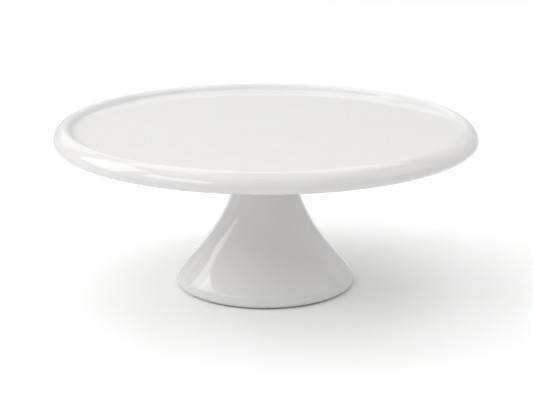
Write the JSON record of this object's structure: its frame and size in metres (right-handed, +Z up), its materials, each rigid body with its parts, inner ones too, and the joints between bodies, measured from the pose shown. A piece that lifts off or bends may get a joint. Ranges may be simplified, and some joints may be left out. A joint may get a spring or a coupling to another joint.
{
  "type": "cake stand",
  "caption": "Round glazed plate with a rolled rim on a hollow trumpet pedestal, held together by a hand screw under the foot.",
  "frame": {"origin": "on the table, on the axis of the foot", "axes": "+Z up, along the axis of the plate and the pedestal"},
  "size_m": [0.3, 0.3, 0.1185],
  "materials": {
    "glazed_ceramic_plate": "gloss white glaze",
    "glazed_ceramic_pedestal": "gloss white glaze, unglazed under the foot",
    "brass": "turned",
    "silicone": "matt translucent white",
    "clear_silicone": "clear soft",
    "steel": "zinc plated",
    "knob_plastic": "fine matt texture",
    "cap_plastic": "smooth"
  },
  "bodies": {
    "foot": {"pedestal": "glazed_ceramic_pedestal", "foot_pads": "clear_silicone", "neck_gasket": "silicone"},
    "top": {"plate": "glazed_ceramic_plate", "plate_bush": "brass"},
    "washers": {"steel_washer": "steel", "cushion_washer": "silicone"},
    "hand_screw": {"centre_screw": "steel", "screw_knob": "knob_plastic", "knob_cap": "cap_plastic"}
  },
  "joints": [
    {"name": "plate_lift", "type": "slide", "parent": "foot", "child": "top", "axis": [0, 0, 1], "range_m": [0, 0.06]},
    {"name": "screw_travel", "type": "slide", "parent": "foot", "child": "washers", "axis": [0, 0, -1], "range_m": [0, 0.01063]},
    {"name": "screw_turn", "type": "hinge", "parent": "washers", "child": "hand_screw", "pos_m": [0, 0, 0.0694], "axis": [0, 0, -1], "range_deg": [0, 3066]}
  ],
  "couplings": [
    {"joint": "screw_turn", "follows": "screw_travel", "rad_per_m": 5026.5}
  ]
}
